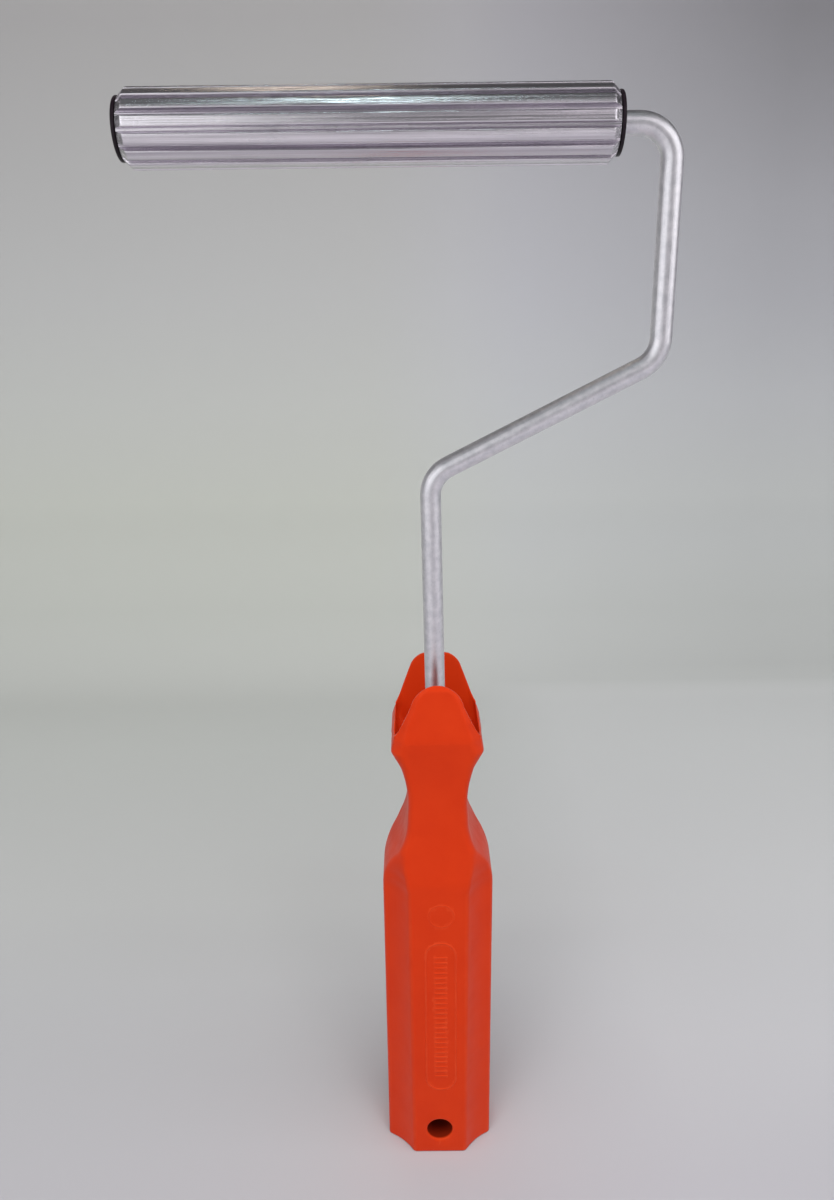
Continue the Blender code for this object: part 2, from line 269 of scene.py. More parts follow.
BULGES = [(row[0], row[3]) for row in CORNERS]
POCKET_WIDTHS = [(POCKET_FLOOR_Z, 0.0072), (0.1600, 0.0090), (0.1690, 0.0144), (COLLAR_TOP_Z, 0.0141)]
POCKET_DEPTHS = [(POCKET_FLOOR_Z, 0.0126), (0.1600, 0.0134), (0.1690, 0.0144), (COLLAR_TOP_Z, LOBE_INNER_Y)]
POCKET_CORNER = 0.0024

# How far above and below each station the change of slope is spread.
WIDTH_SOFTENING = 0.0005
DEPTH_SOFTENING = 0.0004
CORNER_SOFTENING = 0.001


def corner_path(width, depth, cut_x, cut_y, bulge):
    """Front right corner in plan, from the front flat to the side flat, with both edges softened."""
    reach = min(EDGE_ROUNDING, cut_x * 0.6)
    front, side = np.array([width - cut_x, -depth]), np.array([width, cut_y - depth])
    arc = arc_through(front, side, bulge if abs(bulge) > 1e-6 else 1e-6, 24)
    path = [front - (3 * reach, 0), *arc, side + (0, 3 * reach)]
    spacing = reach / 8
    length = np.sum(np.linalg.norm(np.diff(np.array(path), axis=0), axis=1))
    dense = resample(path, int(length / spacing) + 1)
    window = 17                                # samples, twice the rounding's reach
    kernel = np.ones(window) / window
    soft = np.stack([np.convolve(dense[:, i], kernel, mode="valid") for i in range(2)], axis=1)
    return resample(soft[window // 2:-(window // 2)], CORNER_COLUMNS + 1)


def rim_columns(outline, widths):
    """Where each column of the face ends on the lobe's rim: (x, z) and the outline's outward normal."""
    samples, window = 400, 9
    outline = resample(np.array(outline[::-1]), samples)
    kernel = np.ones(window) / window
    soft = outline.copy()
    for i in range(2):
        soft[window // 2:-(window // 2), i] = np.convolve(outline[:, i], kernel, mode="valid")
    flat_edge = at_height(RIDGE_Z, widths) - at_height(RIDGE_Z, CUTS_X) - EDGE_ROUNDING
    keep = soft[soft[:, 1] >= COLLAR_TOP_Z]
    split = int(np.searchsorted(keep[:, 0], flat_edge))
    flat = resample(keep[:split + 1], FLAT_COLUMNS + 1)
    corner = resample(keep[split:], CORNER_COLUMNS + 1)
    columns = np.vstack([flat, corner[1:]])
    tangent = np.gradient(columns, axis=0)
    normal = np.stack([-tangent[:, 1], tangent[:, 0]], axis=1)
    return np.hstack([columns, normal / np.linalg.norm(normal, axis=1)[:, None]])


def face_depth(x, z, widths):
    """Depth of a lobe's outer face: leaning back, creased along the middle, bevelled along its rim."""
    crease_rounding, crease_fade = 0.0004, 0.004
    bevel_drop, bevel_slope = 0.0015, 0.5
    depth = at_height(z, DEPTHS, DEPTH_SOFTENING)
    fade = min(1.0, max(0.0, (z - RIDGE_Z) / crease_fade))
    crease = LOBE_CREASE * np.sqrt(x * x + crease_rounding ** 2) * fade
    over = at_height(z, CUTS_X) - (at_height(z, widths) - x)
    if abs(over) > EDGE_ROUNDING:
        bevel = max(over, 0.0)
    else:
        bevel = (over + EDGE_ROUNDING) ** 2 / (4 * EDGE_ROUNDING)
    top_bevel = max(0.0, bevel_drop - (widths[-1][0] - z)) * bevel_slope
    return depth - crease - max(bevel, top_bevel)


def outer_quarter(height, rim, widths):
    """Quarter ring of the outside: half the flat face, the corner, half the side.

    The face's columns are spaced so that in the head they end evenly along the lobe's outline.
    """
    width, depth = at_height(height, widths, WIDTH_SOFTENING), at_height(height, DEPTHS, DEPTH_SOFTENING)
    corner_stations = (CUTS_X, CUTS_Y, BULGES)
    cut_x, cut_y, bulge = (at_height(height, stations, CORNER_SOFTENING) for stations in corner_stations)
    corner = corner_path(width, depth, cut_x, cut_y, bulge)
    flat = [(corner[0, 0] * share, -depth) for share in rim[:FLAT_COLUMNS, 0] / rim[FLAT_COLUMNS, 0]]
    side = [(width, corner[-1, 1] * (1 - i / SIDE_COLUMNS)) for i in range(1, SIDE_COLUMNS + 1)]
    plan = np.vstack([flat, corner, side])
    return np.column_stack([plan, np.full(len(plan), height)])


def inner_quarter(height, rim):
    """Quarter ring of the pocket, column for column with the outside."""
    half_width = POCKET_WIDTHS[-1][1]
    scale_x = at_height(height, POCKET_WIDTHS, CORNER_SOFTENING) / half_width
    scale_y = at_height(height, POCKET_DEPTHS, CORNER_SOFTENING) / LOBE_INNER_Y
    plan = []
    for x, _, normal_x, _ in rim:
        x = min(x - LIP * normal_x, half_width)
        past = max(0.0, x - (half_width - POCKET_CORNER))
        corner = np.sqrt(max(POCKET_CORNER ** 2 - past ** 2, 0.0))
        plan.append((x, -(LOBE_INNER_Y - POCKET_CORNER + corner)))
    start_y = plan[-1][1]
    plan += [(half_width, start_y * (1 - i / SIDE_COLUMNS)) for i in range(1, SIDE_COLUMNS + 1)]
    plan = np.array(plan) * (scale_x, scale_y)
    return np.column_stack([plan, np.full(len(plan), height)])


def rim_heights(rim):
    """Height of the rim at each column: the lobe's outline, then the side wall's level top, blended."""
    heights = np.concatenate([rim[:, 1], np.full(SIDE_COLUMNS, COLLAR_TOP_Z)])
    soft = heights.copy()
    reach = 3
    for i in range(len(rim) - reach - 2, len(rim) + reach + 1):
        soft[i] = heights[i - reach:i + reach + 1].mean()
    return soft


def head_rows(base, heights, rim, widths):
    """Rows of the outside from the ridge up to just under the rim, closer together towards the rim."""
    steps, crowding = 22, 1.5
    front = len(rim)
    inset_x = np.concatenate([rim[:, 0] - LIP * rim[:, 2], base[front:, 0]])
    tops = heights - LIP * np.concatenate([rim[:, 3], np.ones(SIDE_COLUMNS)])

    def target(column, z):
        if column < front:
            return np.array([inset_x[column], -face_depth(inset_x[column], z, widths)])
        return np.array([at_height(z, widths, WIDTH_SOFTENING), base[column, 1]])

    shift = np.array([base[i, :2] - target(i, RIDGE_Z) for i in range(len(base))])
    rows = []
    for share in 1 - (1 - np.linspace(0, 1, steps)[1:]) ** crowding:
        row = []
        for i, top in enumerate(tops):
            z = RIDGE_Z + share * (top - RIDGE_Z)
            x, y = target(i, z) + shift[i] * (1 - share) ** 2
            row.append((x, y, z))
        rows.append(row)
    return np.array(rows)


def lip_rows(outer, inner, rim):
    """Rounded rim between the outer and inner top rows, a little squarer than a half circle."""
    squareness = 0.6
    normals = np.vstack([rim[:, 2:4], np.tile((0.0, 1.0), (SIDE_COLUMNS, 1))])
    rows = []
    for angle in np.linspace(0, pi, 9)[1:-1]:
        across = (1 - np.sign(cos(angle)) * abs(cos(angle)) ** squareness) / 2
        lift = LIP * sin(angle) ** squareness
        row = outer + (inner - outer) * across
        row[:, 0] += normals[:, 0] * lift
        row[:, 2] += normals[:, 1] * lift
        rows.append(row)
    return np.array(rows)


def whole_rings(front, back):
    """Whole rings from the right front quarter and a back quarter that is laid out in the same way."""
    front, back = np.asarray(front), np.asarray(back)
    return np.concatenate([
        front, back[:, -2::-1] * (1, -1, 1), back[:, 1:] * (-1, -1, 1), front[:, -2:0:-1] * (-1, 1, 1)
    ], axis=1)


def leg_x(z):
    return LEG_LEAN * (LEG_BASE_Z - z)


def socket_rows(floor_ring):
    """From the pocket's floor into the wire's socket, down to below its flattened tail."""
    mouth_depth = 0.0006
    angles = np.arctan2(floor_ring[:, 1], floor_ring[:, 0])

    def ellipse(z, half_x, half_y):
        return np.column_stack([
            leg_x(z) + half_x * np.cos(angles), half_y * np.sin(angles), np.full(len(angles), z)
        ])

    radius = ROD_RADIUS + GAP
    mouth = ellipse(POCKET_FLOOR_Z, radius, radius)
    rows = [floor_ring + (mouth - floor_ring) * share for share in (0.06, 0.5, 0.94)]
    neck_z = TAIL_Z + SWAGE_LENGTH
    rows.append(mouth)
    rows += [ellipse(z, radius, radius) for z in (POCKET_FLOOR_Z - mouth_depth, neck_z + SWAGE_SHOULDER)]
    rows += [ellipse(z, SWAGE_WIDE + GAP, SWAGE_THIN + GAP) for z in (neck_z, TAIL_Z - GAP)]
    return rows


def bead(path, half_width, rise):
    """A low rounded bead along a closed path on the handle's front face, sunk into it for the union."""
    sunk = 0.0004
    section = [(-half_width, -sunk), (-half_width, 0.0), (-half_width * 0.6, rise * 0.8), (0.0, rise)]
    section += [(-a, b) for a, b in section[-2::-1]]
    path = np.asarray(path)
    tangent = np.roll(path, -1, axis=0) - np.roll(path, 1, axis=0)
    tangent /= np.linalg.norm(tangent, axis=1)[:, None]
    across = np.column_stack([tangent[:, 1], -tangent[:, 0]])
    rings = [
        [(p[0] + a * n[0], -BODY_HALF_DEPTH - b, p[1] + a * n[1]) for a, b in section]
        for p, n in zip(path, across)
    ]
    return skin("bead", rings, wrap=True)


def stadium(centre_x, low_z, high_z, radius, steps=16):
    """Closed outline with round ends."""

    def half_circle(centre_z, first):
        angles = np.linspace(first, first + pi, steps + 1)
        return [(centre_x + radius * cos(a), centre_z + radius * sin(a)) for a in angles]

    return half_circle(high_z - radius, 0) + half_circle(low_z + radius, pi)


def bar(centre_x, centre_z, half_length, half_width, rise):
    """A short raised bar with round ends, lying across the handle."""
    rings = []
    for inset, y in ((0.0, 0.0004), (0.0, 0.0), (0.00008, -rise * 0.7), (0.00022, -rise)):
        reach = half_length - inset
        outline = stadium(centre_z, centre_x - reach, centre_x + reach, half_width - inset, 6)
        rings.append([(x, -BODY_HALF_DEPTH + y, z) for z, x in outline])
    return skin("bar", rings)


def raised_marks():
    """Raised marks on the front face: a ring, a long rounded frame and plain bars inside it."""
    ring_x, ring_z, ring_radius = 0.0009, 0.1062, 0.0045
    angles = np.linspace(0, 2 * pi, 49)[:-1]
    ring = [(ring_x + ring_radius * cos(a), ring_z + ring_radius * sin(a)) for a in angles]
    low_z, high_z, centre_x, end_radius = 0.0300, 0.0950, 0.0006, 0.0054
    border = stadium(centre_x, low_z, high_z, end_radius)
    shapes = [bead(ring, 0.00028, 0.00010), bead(border, 0.00032, 0.00018)]
    count, margin = 25, 0.0062
    for i in range(count):
        z = low_z + margin + (high_z - low_z - 2 * margin) * i / (count - 1)
        shapes.append(bar(centre_x, z, half_length=0.0024, half_width=0.0004, rise=0.00013))
    joined = bmesh.new()
    for mesh in shapes:
        joined.from_mesh(mesh)
    marks = bpy.data.meshes.new("marks")
    joined.to_mesh(marks)
    joined.free()
    return marks


def hole_cutter():
    """Hanging hole, slightly wider where it meets the front and back faces."""
    flare, reach = 0.00045, 0.0010
    half = BODY_HALF_DEPTH
    stations = [
        (-half - reach, flare + reach), (-half, flare), (-half + flare * 0.35, flare * 0.35),
        (-half + flare * 1.3, 0.0),
    ]
    stations += [(-y, extra) for y, extra in reversed(stations)]
    angles = np.linspace(0, 2 * pi, 65)[:-1]
    rings = []
    for y, extra in stations:
        radius = HOLE_RADIUS + extra
        rings.append([(radius * cos(a), y, HOLE_HEIGHT + radius * sin(a)) for a in angles])
    return skin("hole", rings)


def butt_rows(full):
    """Rounded edge round the butt face, from just inside it up to full width."""
    rows = []
    for angle in np.linspace(0, pi / 2, 6):
        inset = BUTT_ROUNDING * (1 - sin(angle))
        row = full.copy()
        row[:, :2] *= 1 - inset / np.linalg.norm(full[:, :2], axis=1)[:, None]
        row[:, 2] = BUTT_ROUNDING * (1 - cos(angle))
        rows.append(row)
    return rows


def quarter_rows(outline):
    """One quarter of the handle's skin: up the outside, over the rim, down the pocket to its floor."""
    widths = width_stations(outline)
    rim = rim_columns(outline, widths)
    levels = np.concatenate([
        np.linspace(0.003, 0.108, 72), np.linspace(0.110, 0.132, 27), np.linspace(0.1335, 0.1660, 22),
        np.linspace(0.1670, RIDGE_Z, 12),
    ])
    outside = butt_rows(outer_quarter(BUTT_ROUNDING, rim, widths))
    outside += [outer_quarter(z, rim, widths) for z in levels]
    head = head_rows(outside[-1], rim_heights(rim), rim, widths)
    inner_top = inner_quarter(COLLAR_TOP_Z, rim)
    inner_top[:, 2] = head[-1][:, 2]
    wall_foot_z = RIDGE_Z - 0.0004
    wall = []
    for share in np.linspace(0, 1, 10)[1:]:
        row = inner_top.copy()
        row[:, 2] = inner_top[:, 2] + (wall_foot_z - inner_top[:, 2]) * share
        wall.append(row)
    depths = (0.1710, 0.1690, 0.1665, 0.1640, 0.1615, 0.1590, 0.1560, 0.1530, 0.1508)
    pocket = [inner_quarter(z, rim) for z in depths]
    floor = inner_quarter(POCKET_FLOOR_Z, rim)
    floor[:, :2] *= 0.95
    return [*outside, *head, *lip_rows(head[-1], inner_top, rim), inner_top, *wall, *pocket, floor]


def crease_marks(mesh):
    """Keep the flat face's shading clean where the raised marks meet it."""
    tolerance, above_marks = 1e-5, 0.12
    on_face = [abs(v.co.y + BODY_HALF_DEPTH) < tolerance for v in mesh.vertices]
    proud = [v.co.y < -BODY_HALF_DEPTH - tolerance and v.co.z < above_marks for v in mesh.vertices]
    base_edges = set()
    for polygon in mesh.polygons:
        if any(proud[v] for v in polygon.vertices):
            base_edges.update(key for key in polygon.edge_keys if on_face[key[0]] and on_face[key[1]])
    for edge in mesh.edges:
        if edge.key in base_edges:
            edge.use_edge_sharp = True


def handle_mesh():
    rings = list(whole_rings(quarter_rows(front_lobe_outline()), quarter_rows(back_lobe_outline())))
    rings += socket_rows(rings[-1])
    mesh = skin("handle_moulding", rings)
    mesh = boolean(mesh, hole_cutter(), "DIFFERENCE")
    return boolean(mesh, raised_marks(), "UNION")


# --- wire ---------------------------------------------------------------------------------------
def wire_path():
    """Centre line from the tail in the handle to the tip in the roller, and its two half widths."""
    corners = [
        Vector((leg_x(TAIL_Z), 0, TAIL_Z)),
        Vector((leg_x(LEG_TOP_Z), 0, LEG_TOP_Z)),
        Vector((UPRIGHT_X, 0, LEG_TOP_Z + DIAGONAL_SLOPE * (UPRIGHT_X - leg_x(LEG_TOP_Z)))),
        Vector((UPRIGHT_X, 0, AXIS_POINT.z)),
        Vector((ROD_LOW.x, 0, AXIS_POINT.z)),
    ]
    up = (corners[1] - corners[0]).normalized()
    bevel = 0.0004
    path = [(corners[0] + up * d, w, t) for d, w, t in (
        (0.0, SWAGE_WIDE - bevel, SWAGE_THIN - bevel),
        (bevel, SWAGE_WIDE, SWAGE_THIN),
        (SWAGE_LENGTH, SWAGE_WIDE, SWAGE_THIN),
        (SWAGE_LENGTH + SWAGE_SHOULDER, ROD_RADIUS, ROD_RADIUS),
    )]
    here = path[-1][0]
    steps = 20
    for before, corner, after in zip(corners, corners[1:], corners[2:]):
        into, out = (corner - before).normalized(), (after - corner).normalized()
        turn = into.angle(out)
        tangent = BEND_RADIUS * tan(turn / 2)
        centre = corner + (out - into).normalized() * (BEND_RADIUS / cos(turn / 2))
        start, end = corner - into * tangent, corner + out * tangent
        path += straight(here, start)
        for i in range(steps + 1):
            part = turn * i / steps
            spoke = ((start - centre) * sin(turn - part) + (end - centre) * sin(part)) / sin(turn)
            path.append((centre + spoke, ROD_RADIUS, ROD_RADIUS))
        here = end
    path += straight(here, corners[-1])
    edge = 0.0005
    back = Vector((edge, 0, 0))
    path.append((corners[-1] + back, ROD_RADIUS, ROD_RADIUS))
    path.append((corners[-1] + back * 0.3, ROD_RADIUS - edge * 0.3, ROD_RADIUS - edge * 0.3))
    path.append((corners[-1], ROD_RADIUS - edge, ROD_RADIUS - edge))
    return path


def straight(start, end, spacing=0.008):
    """Points between two ends, leaving both out."""
    count = int((end - start).length / spacing)
    return [(start.lerp(end, i / count), ROD_RADIUS, ROD_RADIUS) for i in range(1, count)]


def wire_mesh(sides=48):
    path = wire_path()
    points = [p for p, _, _ in path]
    turns = [2 * pi * k / sides for k in range(sides)]
    sideways = Vector((0, 1, 0))
    rings, along = [], [0.0]
    for i, (here, wide, thin) in enumerate(path):
        before, after = points[max(i - 1, 0)], points[min(i + 1, len(points) - 1)]
        tangent = ((here - before).normalized() + (after - here).normalized()).normalized()
        across = tangent.cross(sideways)
        rings.append([here + across * wide * cos(turn) + sideways * thin * sin(turn) for turn in turns])
        if i:
            along.append(along[-1] + (here - before).length)
    mesh = skin("cranked_wire", rings)
    add_wire_coordinates(mesh, points, along)
    return mesh


def add_wire_coordinates(mesh, points, along):
    """Store each vertex's distance along the wire and its place round it, for lengthwise surface lines."""
    centres = np.array([tuple(p) for p in points])
    coordinates = np.array([tuple(v.co) for v in mesh.vertices])
    values = np.zeros((len(coordinates), 3))
    for i, point in enumerate(coordinates):
        nearest = int(np.argmin(np.linalg.norm(centres - point, axis=1)))
        toward = centres[min(nearest + 1, len(centres) - 1)] - centres[max(nearest - 1, 0)]
        toward /= np.linalg.norm(toward)
        spoke = point - centres[nearest]
        side = np.dot(spoke, np.cross(toward, (0, 1, 0)))
        values[i] = (along[nearest] + np.dot(spoke, toward), side, spoke[1])
    layer = mesh.attributes.new("wire_place", "FLOAT_VECTOR", "POINT")
    layer.data.foreach_set("vector", values.astype(np.float32).ravel())


# --- roller -------------------------------------------------------------------------------------
def rib_outline():
    """The ribbed section round the roller axis, as (y, z) from the axis, with softened edges."""
    pitch = 2 * pi / RIB_COUNT
    floor_radius = TUBE_RADIUS - RIB_HEIGHT
    crest, floor = CREST_SHARE * pitch / 2, FLOOR_SHARE * pitch / 2
    corners = []
    for rib in range(RIB_COUNT):
        middle = rib * pitch + RIB_PHASE
        for angle, radius in (
            (-pitch / 2, floor_radius), (-pitch / 2 + floor, floor_radius),
            (-crest, TUBE_RADIUS), (-crest / 3, TUBE_RADIUS), (crest / 3, TUBE_RADIUS), (crest, TUBE_RADIUS),
            (pitch / 2 - floor, floor_radius),
        ):
            corners.append((radius * cos(middle + angle), radius * sin(middle + angle)))
    return rounded_loop(corners, 0.0005, 5)


def tube_mesh():
    """Ribbed tube with chamfered rib ends: outside along +X, then back through the bore."""
    outline = rib_outline()
    radii = np.linalg.norm(outline, axis=1)
    root = TUBE_RADIUS - RIB_HEIGHT + 0.00008  # a hair outside the groove floors
    chamfer = [(0.0, root), (0.0001, root + 0.0001), (RIB_CHAMFER, TUBE_RADIUS), (0.07, TUBE_RADIUS)]
    depths = (0.0, 0.0001, 0.0008, 0.0015, 0.0018, 0.0020, 0.0022, 0.0024, 0.0028)
    limits = [at_height(d, chamfer, 0.0003 if d > 0.001 else 0.0) for d in depths]
    rings = []

    def ring(x, limit):
        scale = np.minimum(1.0, limit / radii)
        return [(x, y * s, AXIS_POINT.z + z * s) for (y, z), s in zip(outline, scale)]

    for depth, limit in zip(depths, limits):
        rings.append(ring(TUBE_LOW.x + depth, limit))
    margin = 0.01
    for x in np.linspace(TUBE_LOW.x + margin, TUBE_HIGH.x - margin, 9):
        rings.append(ring(x, TUBE_RADIUS))
    for depth, limit in zip(depths[::-1], limits[::-1]):
        rings.append(ring(TUBE_HIGH.x - depth, limit))
    bore = outline / radii[:, None]
    edge = 0.0002
    for x, radius in (
        (TUBE_HIGH.x, BORE_RADIUS + edge), (TUBE_HIGH.x - edge, BORE_RADIUS),
        (TUBE_LOW.x + edge, BORE_RADIUS), (TUBE_LOW.x, BORE_RADIUS + edge),
    ):
        rings.append([(x, y * radius, AXIS_POINT.z + z * radius) for y, z in bore])
    return skin("ribbed_tube", rings, wrap=True)


def turned_mesh(name, profile, sides=96, modulate=None):
    """Body of revolution about the roller axis from a closed profile of (x, radius) points."""
    rings = []
    for x, radius in profile:
        ring = []
        for angle in np.linspace(0, 2 * pi, sides + 1)[:-1]:
            r = modulate(angle, radius) if modulate else radius
            ring.append((x, r * cos(angle), AXIS_POINT.z + r * sin(angle)))
        rings.append(ring)
    return skin(name, rings, wrap=True)


def bush_mesh(side, name):
    """Flanged end bush: rounded flange, spigot in the bore, recess for the washer."""
    end = TUBE_LOW.x if side < 0 else TUBE_HIGH.x
    hole = ROD_RADIUS + GAP
    corners = [
        (FLANGE_THICKNESS, RECESS_RADIUS), (FLANGE_THICKNESS, FLANGE_RADIUS), (GAP, FLANGE_RADIUS),
        (GAP, BORE_RADIUS - GAP), (-SPIGOT_LENGTH, BORE_RADIUS - GAP), (-SPIGOT_LENGTH, hole),
        (FLANGE_THICKNESS - RECESS_DEPTH, hole), (FLANGE_THICKNESS - RECESS_DEPTH, RECESS_RADIUS),
    ]
    profile = rounded_loop(corners, 0.00035, 4)
    return turned_mesh(name, [(end + side * x, radius) for x, radius in profile])


def washer_mesh(side, name):
    """Push-on washer with tongues that grip the wire, against the floor of the bush's recess."""
    low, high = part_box("left_retaining_washer" if side < 0 else "right_retaining_washer")
    hole = ROD_RADIUS + GAP
    dish = WASHER_THICKNESS * 0.4
    inner, outer = (high.x, low.x) if side < 0 else (low.x, high.x)
    corners = [
        (inner + side * dish, hole), (inner, WASHER_RADIUS * 0.8), (inner, WASHER_RADIUS),
        (outer - side * dish, WASHER_RADIUS), (outer - side * dish, WASHER_RADIUS * 0.82), (outer, hole),
    ]
    slots, slot_depth, narrowness = 6, 0.0011, 5

    def notch(angle, radius):
        share = min(1.0, max(0.0, (WASHER_RADIUS * 0.8 - radius) / (WASHER_RADIUS * 0.8 - hole)))
        depth = slot_depth * max(0.0, 1 - abs(sin(slots * angle / 2)) * narrowness) ** 0.5
        return radius + depth * share

    return turned_mesh(name, rounded_loop(corners, 0.00015, 2), sides=144, modulate=notch)


# --- materials ----------------------------------------------------------------------------------
class Surface:
    """One Principled material and short calls for the nodes round it."""

    def __init__(self, name, color, roughness, metallic=0.0):
        self.material = bpy.data.materials.new(name)
        self.material.use_nodes = True
        self.tree = self.material.node_tree
        self.shader = self.tree.nodes["Principled BSDF"]
        self.set(**{"Base Color": (*color, 1.0), "Roughness": roughness, "Metallic": metallic})
        self.place = self.tree.nodes.new("ShaderNodeTexCoord").outputs["Object"]

    def set(self, **values):
        for name, value in values.items():
            self.shader.inputs[name].default_value = value

    def node(self, kind, inputs=(), **settings):
        node = self.tree.nodes.new(kind)
        for name, value in settings.items():
            setattr(node, name, value)
        for name, value in dict(inputs).items():
            if isinstance(value, bpy.types.NodeSocket):
                self.tree.links.new(value, node.inputs[name])
            else:
                node.inputs[name].default_value = value
        return node

    def stretched(self, source, scale):
        return self.node("ShaderNodeMapping", {"Vector": source, "Scale": scale}).outputs["Vector"]

    def noise(self, scale, detail=4.0, source=None, roughness=0.55):
        inputs = {"Vector": source or self.place, "Scale": scale, "Detail": detail, "Roughness": roughness}
        return self.node("ShaderNodeTexNoise", inputs).outputs["Fac"]

    def remap(self, value, low, high, to_low, to_high):
        inputs = {"Value": value, "From Min": low, "From Max": high, "To Min": to_low, "To Max": to_high}
        return self.node("ShaderNodeMapRange", inputs).outputs["Result"]

    def math(self, operation, a, b):
        return self.node("ShaderNodeMath", {0: a, 1: b}, operation=operation).outputs["Value"]

    def mix(self, factor, a, b, blend="MIX"):
        node = self.node("ShaderNodeMix", data_type="RGBA", blend_type=blend)
        for index, value in ((0, factor), (6, a), (7, b)):
            if isinstance(value, bpy.types.NodeSocket):
                self.tree.links.new(value, node.inputs[index])
            else:
                node.inputs[index].default_value = value
        return node.outputs[2]

    def ramp(self, value, stops):
        """Colours at positions from 0 to 1, blended between."""
        node = self.node("ShaderNodeValToRGB", {"Fac": value})
        points = node.color_ramp.elements
        while len(points) < len(stops):
            points.new(0.5)
        for point, (position, color) in zip(points, stops):
            point.position = position
            point.color = (*color, 1.0)
        return node.outputs["Color"]

    def color(self, socket):
        self.tree.links.new(socket, self.shader.inputs["Base Color"])

    def rough(self, socket):
        self.tree.links.new(socket, self.shader.inputs["Roughness"])

    def bump(self, height, strength, distance):
        inputs = {"Height": height, "Strength": strength, "Distance": distance}
        previous = self.shader.inputs["Normal"]
        if previous.is_linked:
            inputs["Normal"] = previous.links[0].from_socket
        normal = self.node("ShaderNodeBump", inputs).outputs["Normal"]
        self.tree.links.new(normal, previous)

    def edges(self, low, high):
        """0 on flats and 1 on convex edges, where rub wear and painted highlight go."""
        pointiness = self.node("ShaderNodeNewGeometry").outputs["Pointiness"]
        return self.remap(pointiness, low, high, 0.0, 1.0)


def hole_wall_shade(surface):
    """One on the wall of the hanging hole, where shade is painted, otherwise zero."""
    split = surface.node("ShaderNodeSeparateXYZ", {"Vector": surface.place})
    x, y, z = (split.outputs[axis] for axis in "XYZ")
    rise = surface.math("SUBTRACT", z, HOLE_HEIGHT)
    squares = surface.math("ADD", surface.math("MULTIPLY", x, x), surface.math("MULTIPLY", rise, rise))
    from_axis = surface.math("POWER", squares, 0.5)
    near = surface.remap(from_axis, HOLE_RADIUS, HOLE_RADIUS + 0.0003, 1.0, 0.0)
    from_middle = surface.math("ABSOLUTE", y, 0.0)
    deep = surface.remap(from_middle, HANDLE_BACK_Y - 0.0012, HANDLE_BACK_Y - 0.0003, 1.0, 0.0)
    return surface.math("MULTIPLY", near, deep)


def orange_plastic():
    """Satin moulded plastic: fine grain, faint flow marks, paler edges that are partly rub wear and partly
    painted highlight, a few scuffs, and painted shade in the hanging hole.
    """
    s = Surface("orange_plastic", (0.68, 0.038, 0.004), 0.42)
    s.set(**{"Specular IOR Level": 0.20, "Specular Tint": (1.0, 0.62, 0.42, 1.0)})
    cloud = s.noise(70.0, 5.0)
    base = s.mix(s.remap(cloud, 0.3, 0.7, 0.0, 1.0), (0.65, 0.035, 0.005, 1), (0.69, 0.041, 0.006, 1))
    flow = s.noise(9.0, 3.0, s.stretched(s.place, (6.0, 6.0, 1.0)))
    base = s.mix(s.remap(flow, 0.45, 0.75, 0.0, 0.35), base, (0.74, 0.048, 0.005, 1))
    # paler convex edges: partly rub wear, partly painted highlight along the bevels
    rubbed_and_highlit = s.math("MULTIPLY", s.edges(0.505, 0.56), s.remap(s.noise(160.0), 0.35, 0.65, 0.05, 0.35))
    base = s.mix(rubbed_and_highlit, base, (0.80, 0.095, 0.028, 1))
    # painted shade: the hanging hole's wall is darkened almost to black
    s.color(s.mix(s.math("MULTIPLY", hole_wall_shade(s), 0.78), base, (0.05, 0.004, 0.002, 1)))
    grain = s.noise(2600.0, 2.0)
    scuff = s.remap(s.noise(420.0, 6.0, s.stretched(s.place, (1.0, 1.0, 0.12))), 0.62, 0.72, 0.0, 1.0)
    rough = s.remap(s.noise(240.0, 6.0), 0.3, 0.7, 0.36, 0.47)
    s.rough(s.math("ADD", rough, s.math("MULTIPLY", scuff, 0.10)))
    s.bump(s.noise(55.0, 2.0), 0.25, 0.0006)
    s.bump(grain, 0.10, 0.0002)
    return s.material


def zinc_wire():
    """Dull zinc plating on drawn wire: lengthwise lines, cloudy patches, small specks."""
    s = Surface("zinc_plated_steel", (0.60, 0.61, 0.63), 0.34, 1.0)
    place = s.node("ShaderNodeAttribute", attribute_name="wire_place").outputs["Vector"]
    lines = s.noise(1500.0, 3.0, s.stretched(place, (0.02, 1.0, 1.0)))
    cloud = s.noise(420.0, 6.0)
    speck = s.remap(s.noise(1300.0, 3.0), 0.60, 0.72, 0.0, 1.0)
    base = s.mix(s.remap(cloud, 0.35, 0.65, 0.0, 1.0), (0.71, 0.70, 0.74, 1), (0.85, 0.83, 0.87, 1))
    base = s.mix(s.math("MULTIPLY", speck, 0.35), base, (0.52, 0.52, 0.55, 1))
    s.color(base)
    rough = s.remap(cloud, 0.3, 0.7, 0.40, 0.45)
    s.rough(s.math("ADD", rough, s.remap(lines, 0.3, 0.7, -0.04, 0.06)))
    s.bump(lines, 0.50, 0.0001)
    s.bump(s.noise(1600.0, 4.0), 0.25, 0.0001)
    return s.material


